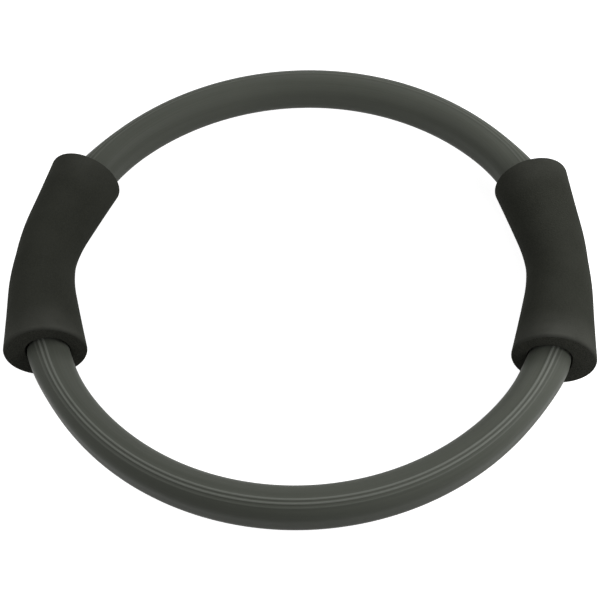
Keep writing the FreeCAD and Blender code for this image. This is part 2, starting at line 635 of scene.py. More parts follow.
@dataclass(frozen=True)
class RubberFinish:
    """Satin extruded rubber, with faint lines along it and a painted highlight on the crests of its ribs.

    Attributes:
        colour: Main colour.
        paler: Colour of the lighter lines and patches.
        crest_highlight: Colour of the painted highlight on the crests of the ribs.
        roughness: Least and most roughness.
        line_cells: Cells of the lines to the metre, along the cover and round it.
        lines: Lines that the die left.
        patches: Cloudy patches.
        pits: Fine pits all over.
        crest_highlight_band: Painted highlight on the ribs, whose band is how far they stand out.
    """

    colour: Colour = (0.050, 0.0535, 0.0445)
    paler: Colour = (0.062, 0.0660, 0.0555)
    # Painted highlight: a paler colour on the rib crests that stands in for their gloss
    crest_highlight: Colour = (0.114, 0.1200, 0.1060)
    roughness: Pair = (0.46, 0.58)
    line_cells: Pair = (7.0, 1500.0)
    lines: Grain = Grain(detail=4.0, band=(0.35, 0.7), share=0.6, depth=0.00008, strength=0.35)
    patches: Grain = Grain(cells=16.0, band=(0.4, 0.75), share=0.5, rough_band=(0.3, 0.75))
    pits: Grain = Grain(cells=4200.0, detail=2.0, depth=0.00006, strength=0.3)
    crest_highlight_band: Grain = Grain(band=(0.00012, 0.00034), share=0.9)

    def material(self) -> bpy.types.Material:
        """The finish as a material.

        Returns:
            A new material.
        """
        sheet = NodeSheet("ribbed_rubber", Specular_IOR_Level=0.08)
        place = sheet.place()
        lines = sheet.noise(sheet.unwrapped(*self.line_cells), self.lines)
        patches = sheet.noise(place, self.patches)
        colour = sheet.mottled(lines, self.lines, self.colour, self.paler)
        colour = sheet.mottled(patches, self.patches, colour, self.paler)
        # Painted highlight: the ribs turn paler the further they stand out
        sheet.drive("Base Color", sheet.mottled(sheet.attribute(STAND), self.crest_highlight_band, colour, self.crest_highlight))
        sheet.roughen(patches, self.patches, self.roughness)
        relief = sheet.bumped(lines, self.lines)
        sheet.drive("Normal", sheet.bumped(sheet.noise(place, self.pits), self.pits, relief))
        return sheet.material


@dataclass(frozen=True)
class FoamSkinFinish:
    """Moulded skin of black foam: matt, finely pebbled and a little mottled, with a painted highlight on
    top near its rims.

    Attributes:
        colour: Main colour.
        paler: Colour of the raised pebbles and of the paler patches.
        rim_highlight_colour: Colour of the painted highlight on top near the rims.
        roughness: Least and most roughness.
        pebbles: Fine pebbles all over.
        bubbles: Bubbles under the skin.
        patches: Cloudy patches.
        rim_highlight_band: Values of the patches between which the painted highlight gets stronger.
        rim_highlight_shares: Least and most of the painted highlight that shows.
    """

    colour: Colour = (0.0175, 0.0184, 0.0148)
    paler: Colour = (0.0275, 0.0286, 0.0236)
    # Painted highlight: paler colour on the upward side near the rims, where the lamps catch the grip
    rim_highlight_colour: Colour = (0.0480, 0.0490, 0.0430)
    roughness: Pair = (0.82, 0.97)
    pebbles: Grain = Grain(cells=1150.0, band=(0.35, 0.7), share=0.7, depth=0.00035, strength=0.45)
    bubbles: Grain = Grain(cells=820.0, depth=0.00030, strength=0.25)
    patches: Grain = Grain(cells=42.0, detail=4.0, band=(0.4, 0.7), share=0.5)
    rim_highlight_band: Pair = (0.35, 0.65)
    rim_highlight_shares: Pair = (0.6, 1.0)

    def material(self) -> bpy.types.Material:
        """The finish as a material.

        Returns:
            A new material.
        """
        sheet = NodeSheet("foam_skin", Specular_IOR_Level=0.03)
        place = sheet.place()
        pebbles = sheet.noise(place, self.pebbles)
        patches = sheet.noise(place, self.patches)
        colour = sheet.mottled(pebbles, self.pebbles, self.colour, self.paler)
        colour = sheet.mottled(patches, self.patches, colour, self.paler)
        # Painted highlight on top near the rims, broken up by the patches
        spread = sheet.ranged(patches, self.rim_highlight_band, self.rim_highlight_shares)
        rim_highlight = sheet.node("ShaderNodeMath", {0: sheet.attribute(RIM_HIGHLIGHT), 1: spread}, operation="MULTIPLY")
        sheet.drive("Base Color", sheet.blend(rim_highlight.outputs[0], colour, self.rim_highlight_colour))
        sheet.roughen(pebbles, self.pebbles, self.roughness)
        relief = sheet.bumped(sheet.pores(place, self.bubbles), self.bubbles)
        sheet.drive("Normal", sheet.bumped(pebbles, self.pebbles, relief))
        return sheet.material


@dataclass(frozen=True)
class FoamCutFinish:
    """Cut face of black foam, with its small cells open and painted shade inside them.

    Attributes:
        colour: Colour of the cell walls.
        pore_shade: Colour of the painted shade inside the cells.
        pores: Small open cells.
        hollows: Larger hollows.
    """

    colour: Colour = (0.0365, 0.0375, 0.0312)
    pore_shade: Colour = (0.0128, 0.0132, 0.0109)
    pores: Grain = Grain(cells=1500.0, band=(0.15, 0.55), depth=0.00040, strength=0.6)
    hollows: Grain = Grain(cells=520.0, depth=0.00025, strength=0.3)

    def material(self) -> bpy.types.Material:
        """The finish as a material.

        Returns:
            A new material.
        """
        sheet = NodeSheet("foam_cut", Specular_IOR_Level=0.03, Roughness=0.97)
        place = sheet.place()
        pores = sheet.pores(place, self.pores)
        # Painted shade: the middles of the open cells are darker, as the shade inside them
        sheet.drive("Base Color", sheet.mottled(pores, self.pores, self.pore_shade, self.colour))
        relief = sheet.bumped(sheet.pores(place, self.hollows), self.hollows)
        sheet.drive("Normal", sheet.bumped(pores, self.pores, relief))
        return sheet.material


@dataclass(frozen=True)
class FibreglassFinish:
    """Pale pultruded fibreglass, with glass fibres along it.

    Attributes:
        colour: Colour of the resin.
        fibre: Colour of the bundles of glass.
        roughness: Least and most roughness.
        fibre_cells: Cells of the fibres to the metre, along the leaf and round it.
        fibres: The fibres.
    """

    colour: Colour = (0.52, 0.50, 0.30)
    fibre: Colour = (0.72, 0.71, 0.55)
    roughness: Pair = (0.32, 0.5)
    fibre_cells: Pair = (12.0, 2600.0)
    fibres: Grain = Grain(detail=4.0, band=(0.35, 0.7), depth=0.00005, strength=0.4)

    def material(self) -> bpy.types.Material:
        """The finish as a material.

        Returns:
            A new material.
        """
        sheet = NodeSheet("fibreglass", Specular_IOR_Level=0.5)
        fibres = sheet.noise(sheet.unwrapped(*self.fibre_cells), self.fibres)
        sheet.drive("Base Color", sheet.mottled(fibres, self.fibres, self.colour, self.fibre))
        sheet.roughen(fibres, self.fibres, self.roughness)
        sheet.drive("Normal", sheet.bumped(fibres, self.fibres))
        return sheet.material


@dataclass(frozen=True)
class TapeFinish:
    """Black plastic tape, wound with a little lap at each turn.

    Attributes:
        colour: Main colour.
        dusty: Colour of the scuffed places.
        roughness: Least and most roughness.
        scuffs: Scuffed places.
        lap: Distance between the edges of the turns.
        lap_slant: How far the edges slant along the hoop for each length round it.
        laps: Relief of the laps.
    """

    colour: Colour = (0.020, 0.020, 0.021)
    dusty: Colour = (0.045, 0.045, 0.046)
    roughness: Pair = (0.34, 0.55)
    scuffs: Grain = Grain(cells=160.0, detail=4.0, band=(0.5, 0.75), rough_band=(0.35, 0.7))
    lap: float = 0.009
    lap_slant: float = 0.12
    laps: Grain = Grain(depth=0.00015, strength=0.5)

    def material(self) -> bpy.types.Material:
        """The finish as a material.

        Returns:
            A new material.
        """
        sheet = NodeSheet("lapped_tape", Specular_IOR_Level=0.5)
        scuffs = sheet.noise(sheet.place(), self.scuffs)
        sheet.drive("Base Color", sheet.mottled(scuffs, self.scuffs, self.colour, self.dusty))
        sheet.roughen(scuffs, self.scuffs, self.roughness)
        scale = FULL_TURN / (WAVE_TURN * self.lap)
        inputs = {"Vector": sheet.unwrapped(1.0, self.lap_slant), "Scale": scale}
        edges = sheet.node("ShaderNodeTexWave", inputs, wave_profile="SAW").outputs["Fac"]
        sheet.drive("Normal", sheet.bumped(edges, self.laps))
        return sheet.material


@dataclass(frozen=True)
class SteelFinish:
    """Brushed steel.

    Attributes:
        name: Name of the material.
        colour: Colour of the bright metal.
        dull: Colour of the duller strokes.
        stroke_cells: Cells of the strokes to the metre, along each axis.
        strokes: Strokes of the brush.
        roughness: Least and most roughness.
    """

    name: str
    colour: Colour
    dull: Colour
    stroke_cells: tuple[float, float, float]
    strokes: Grain = Grain(depth=0.00003, strength=0.4)
    roughness: Pair = (0.26, 0.42)

    def material(self) -> bpy.types.Material:
        """The finish as a material.

        Returns:
            A new material.
        """
        sheet = NodeSheet(self.name, Metallic=1.0)
        strokes = sheet.noise(sheet.stretched(sheet.place(), self.stroke_cells), self.strokes)
        sheet.drive("Base Color", sheet.mottled(strokes, self.strokes, self.colour, self.dull))
        sheet.roughen(strokes, self.strokes, self.roughness)
        sheet.drive("Normal", sheet.bumped(strokes, self.strokes))
        return sheet.material


PLATE_STEEL = SteelFinish("brushed_plate", (0.56, 0.57, 0.58), (0.42, 0.42, 0.43), (500.0, 14.0, 2400.0))
RIVET_STEEL = SteelFinish("rivet_steel", (0.64, 0.64, 0.64), (0.50, 0.50, 0.50), (900.0, 900.0, 900.0))


# Sub-assemblies

RIB_HEIGHTS = {Half.FRONT: (0.0004, 0.0004, 0.0002), Half.REAR: (0.0002, 0.0002, 0.0001)}


@dataclass
class RibbedCover:
    """One half of the hoop's cover: an extruded tube with ribs along its shoulder and webs inside it.

    Attributes:
        half: Which half this is.
        line: Circle that the cover follows.
        section: Outline of the cover.
        span: Stretch of the hoop that the cover takes up.
        swell: Widening of the cover near the grips.
        rib_heights: Height of each rib, from the inner to the outer one.
        wall: Thickness of the cover.
        rib_middle: Distance of the ribs round the section, from the middle of its top towards the outside.
        rib_pitch: Distance between ribs.
        rib_width: Width of one rib.
        rib_steps: Number of steps across one rib.
        section_step: Length of the steps round the plain part of the section.
        chord: Length of the steps along the hoop.
        cuts: Number of finer steps that each step of the outside is cut into.
        web_thickness: Thickness of the inner webs.
        web_spacing: Distance between the upper and the lower webs.
        web_tip: Distance from the middle of the section to the tips of the webs.
        web_relief: Length without webs at each end.
    """

    half: Half
    line: HoopLine
    section: Oblong
    span: Span
    swell: Swell
    rib_heights: tuple[float, ...]
    wall: float = 0.0024
    rib_middle: float = 0.0045
    rib_pitch: float = 0.0025
    rib_width: float = 0.0019
    rib_steps: int = 8
    section_step: float = 0.0015
    chord: float = 0.0100
    cuts: int = 4
    web_thickness: float = 0.0016
    web_spacing: float = 0.011
    web_tip: float = 0.00285
    web_relief: float = 0.040

    def stations(self) -> list[Pair]:
        """Lays out the section.

        Returns:
            Distance round the section and stand above it, first over the ribs and then round the rest.
        """
        ribs = []
        for index, height in enumerate(self.rib_heights):
            middle = self.rib_middle + (index - (len(self.rib_heights) - 1) / 2) * self.rib_pitch
            for step in range(self.rib_steps + 1):
                share = 2 * step / self.rib_steps - 1
                ribs.append((middle + share * self.rib_width / 2, height * (1 - share * share)))
        end = ribs[-1][0]
        rest = self.section.length() - (end - ribs[0][0])
        count = round(rest / self.section_step)
        return ribs + [(end + rest * step / count, 0.0) for step in range(1, count)]

    def mesh(self) -> bmesh.types.BMesh:
        """Adds the webs, turns the two walls of the tube and joins them at the ends.

        Returns:
            The finished mesh.
        """
        bm = bmesh.new()
        _, stand, outside = (bm.verts.layers.float.new(name) for name in (TRAVEL, STAND, OUTSIDE))
        self.add_webs(bm)
        stations, stands = zip(*self.stations())
        ends = ([], [])
        for depth in (self.wall, 0.0):
            outline = self.section.grown(-depth)
            scale = outline.length() / self.section.length()
            ring = section_loop(bm, self.line, self.span.start, outline, stations, scale=scale)
            for vert, height in zip(ring, stands):
                vert[stand] = 0.0 if depth else height
                vert[outside] = 0.0 if depth else 1.0
            ends[0].extend(ring)
            ends[1].extend(spin_loop(bm, ring, self.span.sweep, self.span.steps(self.line, self.chord)))
        join_walls(bm, *ends)
        self.refine(bm)
        self.shape_outside(bm)
        unwrap(bm, self.span, self.line, self.section.length())
        return bm

    def refine(self, bm: bmesh.types.BMesh) -> None:
        """Cuts the outside of the tube into finer steps along the hoop.

        Args:
            bm: Mesh of the tube.
        """
        travel, outside = (bm.verts.layers.float[name] for name in (TRAVEL, OUTSIDE))
        lengthwise = []
        for edge in bm.edges:
            first, second = edge.verts
            if first[outside] and second[outside] and abs(first[travel] - second[travel]) < TINY:
                lengthwise.append(edge)
        bmesh.ops.subdivide_edges(bm, edges=lengthwise, cuts=self.cuts - 1, use_grid_fill=True)

    def shape_outside(self, bm: bmesh.types.BMesh) -> None:
        """Raises the ribs, and widens and turns the tube near the grips.

        Args:
            bm: Mesh of the tube.
        """
        travel, stand, outside = (bm.verts.layers.float[name] for name in (TRAVEL, STAND, OUTSIDE))
        for vert in bm.verts:
            if not vert[outside]:
                continue
            azimuth = math.atan2(vert.co.y, vert.co.x)
            past = self.span.past_start(vert.co)
            from_splice = min(past, self.span.sweep - past) * self.line.radius
            strength = self.swell.strength(from_splice)
            place, normal = self.section.at(vert[travel] - self.swell.rib_turn * strength)
            place += normal * vert[stand]
            vert.co = self.line.place(azimuth, place.x * (1 + self.swell.growth * strength), place.y)

    def add_webs(self, bm: bmesh.types.BMesh) -> None:
        """Adds the webs that hold the leaves upright inside the cover.

        Args:
            bm: Mesh to add them to.
        """
        root = self.section.width / 2 - self.wall / 2
        outline = Oblong(root - self.web_tip, self.web_thickness, self.web_thickness / 4)
        span = self.span.trimmed(self.line.angle(self.web_relief))
        for side in (-1, 1):
            for end in (-1, 1):
                offset = (side * (root + self.web_tip) / 2, end * self.web_spacing / 2)
                strip_mesh(bm, self.line, outline, offset, span, self.chord)

    def build(self, finish: RubberFinish, squeeze: Squeeze) -> bpy.types.Object:
        """Makes the piece and sets it in the frame.

        Args:
            finish: Finish of the cover.
            squeeze: Motion that the cover follows.

        Returns:
            The piece.
        """
        piece = finish_piece(self.half.value + "_ribbed_cover", self.mesh(), [finish.material()])
        squeeze.narrow_hoop(piece)
        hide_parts(self.half.value + "_cover")
        return piece


@dataclass
class SpringLeaf:
    """One of the flat fibreglass leaves that make the hoop spring.

    Attributes:
        half: Which half of the hoop it lies in.
        layer: Whether it is the outer or the inner leaf.
        line: Circle that the hoop follows.
        span: Stretch of the hoop between the middles of the splices.
        thickness: Thickness of the leaf.
        height: Height of the leaf.
        clearance: Gap between the two leaves.
        butt_gap: Gap between the ends of the two halves.
        edge: Radius of the eased edges.
        chord: Length of the steps along the leaf.
    """

    half: Half
    layer: Layer
    line: HoopLine
    span: Span
    thickness: float = 0.0026
    height: float = 0.020
    clearance: float = 0.0001
    butt_gap: float = 0.0010
    edge: float = 0.0004
    chord: float = 0.004

    def build(
        self, material: bpy.types.Material, squeeze: Squeeze, drill: bpy.types.Object
    ) -> bpy.types.Object:
        """Makes the leaf, drills it for the rivets and sets it in the frame.

        Args:
            material: Finish of the leaf.
            squeeze: Motion that the leaf follows.
            drill: Rods where the rivets go through.

        Returns:
            The piece.
        """
        step = (self.thickness + self.clearance) / 2
        outward = step if self.layer is Layer.OUTER else -step
        outline = Oblong(self.thickness, self.height, self.edge)
        span = self.span.trimmed(self.line.angle(self.butt_gap) / 2)
        bm = bmesh.new()
        bm.verts.layers.float.new(TRAVEL)
        strip_mesh(bm, self.line, outline, (outward, 0.0), span, self.chord)
        unwrap(bm, span, self.line, outline.length())
        name = self.half.value + "_" + self.layer.value
        piece = finish_piece(name + "_spring_leaf", bm, [material])
        pierce(piece, drill)
        squeeze.narrow_hoop(piece)
        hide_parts(name + "_leaf")
        return piece


def pierce(piece: bpy.types.Object, drill: bpy.types.Object) -> None:
    """Takes the space of the drill out of a piece for good.

    Args:
        piece: Piece to cut.
        drill: Object whose space is taken out.
    """
    cut = piece.modifiers.new("rivet_holes", "BOOLEAN")
    cut.operation = "DIFFERENCE"
    cut.object = drill
    with bpy.context.temp_override(object=piece, active_object=piece):
        bpy.ops.object.modifier_apply(modifier=cut.name)


@dataclass
class Splice:
    """The joint of the hoop under a grip: plates, rivets and a band of tape.

    Attributes:
        side: Which end of the ring it is at.
        azimuth: Azimuth of its middle.
        line: Circle that the hoop follows.
        section: Outline of the hoop's cover.
        rivet_places: Distances of the rivets from the middle, along the hoop.
        rivet_hole: Diameter of the rivet holes.
        band_length: Length of the tape band along the hoop.
        band_thickness: Thickness of the band.
        band_clearance: Gap between the cover and the band.
        chord: Length of the steps along the band.
    """

    side: Side
    azimuth: float
    line: HoopLine
    section: Oblong
    rivet_places: tuple[float, ...] = (-0.020, -0.008, 0.008, 0.020)
    rivet_hole: float = 0.0046
    band_length: float = 0.036
    band_thickness: float = 0.0005
    band_clearance: float = 0.0001
    chord: float = 0.0015

    def add_drills(self, bm: bmesh.types.BMesh) -> None:
        """Adds a rod for each rivet hole to a mesh.

        Args:
            bm: Mesh to add them to.
        """
        upright = Matrix.Rotation(QUARTER_TURN, 4, "Y")
        for place in self.rivet_places:
            azimuth = self.azimuth + self.line.angle(place)
            seat = Matrix.Translation(self.line.place(azimuth, 0, 0))
            bmesh.ops.create_cone(
                bm,
                cap_ends=True,
                segments=DRILL_STEPS,
                radius1=self.rivet_hole / 2,
                radius2=self.rivet_hole / 2,
                depth=self.section.width,
                matrix=seat @ Matrix.Rotation(azimuth, 4, "Z") @ upright,
            )

    def build_band(self, material: bpy.types.Material, squeeze: Squeeze) -> bpy.types.Object:
        """Makes the tape band and sets it in the frame.

        Args:
            material: Finish of the tape.
            squeeze: Motion that the band follows.

        Returns:
            The piece.
        """
        bm = bmesh.new()
        bm.verts.layers.float.new(TRAVEL)
        sweep = self.line.angle(self.band_length)
        span = Span(self.azimuth - sweep / 2, sweep)
        inside = self.section.grown(self.band_clearance)
        ends = ([], [])
        for outline in (inside.grown(self.band_thickness), inside):
            stations = outline.corner_stations(BAND_CORNER_STEPS)
            ring = section_loop(bm, self.line, span.start, outline, stations)
            ends[0].extend(ring)
            ends[1].extend(spin_loop(bm, ring, sweep, span.steps(self.line, self.chord)))
        join_walls(bm, *ends)
        unwrap(bm, span, self.line, inside.length())
        piece = finish_piece(self.side.value + "_tape_band", bm, [material])
        squeeze.narrow_handle(piece, self.side)
        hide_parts(self.side.value + "_joint_band")
        return piece

    def dress(self, plate: bpy.types.Material, rivet: bpy.types.Material) -> None:
        """Gives the plates and the rivets of the frame their finishes.

        Args:
            plate: Finish of the plates.
            rivet: Finish of the rivets.
        """
        for layer in Layer:
            dress_node(f"{self.side.value}_{layer.value}_splice_plate", plate)
        dress_node(self.side.value + "_splice_rivets", rivet)


def dress_node(name: str, material: bpy.types.Material) -> None:
    """Puts a material on a node of the frame.

    Args:
        name: Name of the node.
        material: Its only material.
    """
    node = frame["nodes"][name]
    node.data.materials.clear()
    node.data.materials.append(material)
    LOG.info("dressed %s", name)


@dataclass(frozen=True)
class GripForm:
    """How one grip sits on the hoop and bends.

    Attributes:
        inset: How far the middle of its waist lies inside the hoop's circle.
        bend: Degrees that it bends through.
        bend_share: Share of the length that takes the bend.
        front_lean: Share of the bend that the sections of the front half lean with.
        rear_stretch: Length of the rear half, as a share of the front half's.
    """

    inset: float
    bend: float
    bend_share: float
    front_lean: float
    rear_stretch: float


GRIP_FORMS = {
    Side.LEFT: GripForm(inset=0.0004, bend=27.4, bend_share=0.422, front_lean=0.8, rear_stretch=1.032),
    Side.RIGHT: GripForm(inset=0.0032, bend=19.8, bend_share=0.40, front_lean=1.0, rear_stretch=1.0),
}


@dataclass
class FoamGrip:
    """A foam grip: a waisted tube with rounded rims, bent a little and bored for the hoop.

    Attributes:
        side: Which end of the ring it is at.
        form: How it sits and bends.
        line: Circle of the hoop that runs through it.
        azimuth: Azimuth of its waist.
        level: Height of the middle of the grip.
        bore: Outline of the bore.
        bore_level: Height of the middle of the bore.
        length: Length along the bent middle line.
        waist: Diameter of the waist.
        front_end: Diameter that the flare reaches at the front end, before it is rounded.
        rear_end: Diameter that the flare reaches at the rear end.
        rim: Radius of the rounded rims.
        mouth: Radius at the mouths of the bore.
        flare_power: How late the flare sets in.
        flank_steps: Number of steps along the flank.
        bore_steps: Number of steps along the bore.
        round_steps: Number of steps round the grip.
        core: Radius of the bore before it takes its outline.
        rim_highlight_length: Length near each rim over which the top has a painted highlight.
        rear_rim_highlight: Strength of the painted highlight at the rear rim, as a share of the front one.
    """

    side: Side
    form: GripForm
    line: HoopLine
    azimuth: float
    level: float
    bore: Oblong
    bore_level: float
    length: float
    waist: float = 0.0400
    front_end: float = 0.0528
    rear_end: float = 0.0504
    rim: float = 0.0020
    mouth: float = 0.0008
    flare_power: float = 1.31
    flank_steps: int = 36
    bore_steps: int = 24
    round_steps: int = 128
    core: float = 0.010
    rim_highlight_length: float = 0.022
    rear_rim_highlight: float = 0.5

    def in_front(self, along: float) -> bool:
        """Whether a distance along the grip lies before the waist."""
        return along * math.cos(self.azimuth) < 0

    def end(self, along: float) -> float:
        """Diameter of the end that lies on the same side of the waist as a distance along the grip."""
        return self.front_end if self.in_front(along) else self.rear_end

    def radius(self, along: float) -> float:
        """Radius of the flank at a distance from the waist."""
        share = abs(along) / (self.length / 2)
        return self.waist / 2 + (self.end(along) - self.waist) / 2 * share**self.flare_power

    def axis(self, along: float) -> tuple[Vector, float]:
        """Follows the bent middle line, with the waist on X and the line along Y.

        Args:
            along: Distance along the line from the waist.

        Returns:
            The point on the line and the turn of the section there.
        """
        in_front = self.in_front(along)
        lean = self.form.front_lean if in_front else 1.0
        along *= 1.0 if in_front else self.form.rear_stretch
        arc = self.form.bend_share * self.length
        arc_radius = arc / math.radians(self.form.bend)
        on_arc = max(-arc / 2, min(arc / 2, along))
        heading = on_arc / arc_radius
        straight = along - on_arc
        waist = self.line.radius - self.form.inset
        x = waist - arc_radius * (1 - math.cos(heading)) - straight * math.sin(heading)
        y = arc_radius * math.sin(heading) + straight * math.cos(heading)
        return Vector((x, y, 0)), heading * lean

    def profile(self, bm: bmesh.types.BMesh) -> None:
        """Draws the closed profile of the straight tube and rounds its rims and mouths.

        Args:
            bm: Mesh to draw in.
        """
        half = self.length / 2
        flank = [half * (2 * step / self.flank_steps - 1) for step in range(self.flank_steps + 1)]
        bore = [half * (1 - 2 * step / self.bore_steps) for step in range(self.bore_steps + 1)]
        points = [Vector((self.radius(along), along, 0)) for along in flank]
        points += [Vector((self.core, along, 0)) for along in bore]
        ring = loop_of(bm, points)
        rims = [ring[0], ring[self.flank_steps]]
        mouths = [ring[self.flank_steps + 1], ring[-1]]
        for corners, offset in ((rims, self.rim), (mouths, self.mouth)):
            bmesh.ops.bevel(
                bm,
                geom=corners,
                offset=offset,
                offset_type="OFFSET",
                segments=BEVEL_STEPS,
                profile=0.5,
                affect="VERTICES",
                material=-1,
            )

    def hoop_middle(self, middle: Vector, outward: Vector) -> float:
        """How far outside the grip's middle line the hoop crosses a section of the grip."""
        beside = middle - outward * middle.dot(outward)
        return math.sqrt(self.line.radius**2 - beside.length_squared) - middle.dot(outward)

    def bent(self, straight: Vector) -> Vector:
        """Takes a point of the straight tube to its place on the bent grip.

        Args:
            straight: Point on the straight tube, which lies along Y.

        Returns:
            The place on the grip, with the waist on X.
        """
        radius = math.hypot(straight.x, straight.z)
        turn = math.atan2(straight.z, straight.x)
        middle, heading = self.axis(straight.y)
        outward = Vector((math.cos(heading), math.sin(heading), 0))
        up = Vector((0, 0, 1))
        ray = outward * math.cos(turn) + up * math.sin(turn)
        middle = middle + up * self.level
        face_edge = self.end(straight.y) / 2 - self.rim
        at_end = abs(straight.y) > self.length / 2 - TINY
        if radius > (face_edge if at_end else self.waist / 2) - TINY:
            return middle + ray * radius
        place, _ = self.bore.at((QUARTER_TURN - turn) / FULL_TURN * self.bore.length())
        flat_middle = Vector((middle.x, middle.y, 0))
        crossing = middle + outward * (self.hoop_middle(flat_middle, outward) + place.x)
        crossing.z = self.bore_level + place.y
        share = max(0.0, radius - self.core) / (face_edge - self.core)
        return crossing.lerp(middle + ray * face_edge, share)

    def rim_highlight(self, straight: Vector) -> float:
        """How strong the painted highlight is at a point of the straight tube, from 0 to 1.

        Args:
            straight: Point on the straight tube, which lies along Y.

        Returns:
            The share, which is largest on top of a rim.
        """
        from_end = self.length / 2 - abs(straight.y)
        # Only the upward-facing side gets the painted highlight
        upward = straight.z / math.hypot(straight.x, straight.z)
        share = 1.0 if self.in_front(straight.y) else self.rear_rim_highlight
        return share * max(0.0, 1 - from_end / self.rim_highlight_length) * max(0.0, upward)

    def mesh(self) -> bmesh.types.BMesh:
        """Spins the profile, marks the cut faces, bends the tube and stands it on the floor.

        Returns:
            The finished mesh.
        """
        bm = bmesh.new()
        self.profile(bm)
        bmesh.ops.spin(
            bm,
            geom=bm.verts[:] + bm.edges[:],
            cent=(0, 0, 0),
            axis=(0, 1, 0),
            angle=FULL_TURN,
            steps=self.round_steps,
            use_merge=True,
            use_duplicate=False,
        )
        for face in bm.faces:
            middle = face.calc_center_median()
            at_end = abs(middle.y) > self.length / 2 - TINY
            in_bore = math.hypot(middle.x, middle.z) < self.core + self.mouth
            kind = FoamFace.CUT if at_end or in_bore else FoamFace.SKIN
            face.material_index = kind.value
        turned = Matrix.Rotation(self.azimuth, 4, "Z")
        rim_highlight = bm.verts.layers.float.new(RIM_HIGHLIGHT)
        for vert in bm.verts:
            # Stores the strength of the painted rim highlight on each vertex
            vert[rim_highlight] = self.rim_highlight(vert.co)
            vert.co = turned @ self.bent(vert.co)
            vert.co.z = max(vert.co.z, 0.0)
        return bm

    def build(
        self, skin: bpy.types.Material, cut: bpy.types.Material, squeeze: Squeeze
    ) -> bpy.types.Object:
        """Makes the grip and sets it in the frame.

        Args:
            skin: Finish of the moulded outside.
            cut: Finish of the cut ends and the bore.
            squeeze: Motion that the grip follows.

        Returns:
            The piece.
        """
        piece = finish_piece(self.side.value + "_foam_grip", self.mesh(), [skin, cut])
        squeeze.narrow_handle(piece, self.side)
        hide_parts(self.side.value + "_grip")
        return piece


# The studio


@dataclass(frozen=True)
class Softbox:
    """A large soft lamp.

    Attributes:
        name: Name of the lamp.
        place: Where it hangs, facing the middle of the ring.
        power: Power in watts.
        size: Length of the sides of its face.
    """

    name: str
    place: tuple[float, float, float]
    power: float
    size: float = 0.4

    def hang(self) -> None:
        """Adds the lamp to the scene."""
        lamp = bpy.data.lights.new(self.name, "AREA")
        lamp.size = self.size
        lamp.energy = self.power
        holder = bpy.data.objects.new(self.name, lamp)
        holder.location = self.place
        holder.rotation_euler = (-Vector(self.place)).to_track_quat("-Z", "Y").to_euler()
        holder.visible_camera = False
        bpy.context.scene.collection.objects.link(holder)


SOFTBOXES = (
    Softbox("right_box", (0.50, 0.10, 0.45), 2.80),
    Softbox("left_box", (-0.50, 0.10, 0.45), 1.55),
    Softbox("rear_box", (0.00, 0.65, 0.45), 1.65),
    Softbox("right_fill", (0.45, -0.35, 0.45), 2.30),
    Softbox("left_fill", (-0.45, -0.35, 0.45), 1.15),
    Softbox("right_side", (0.65, -0.05, 0.22), 1.02),
)


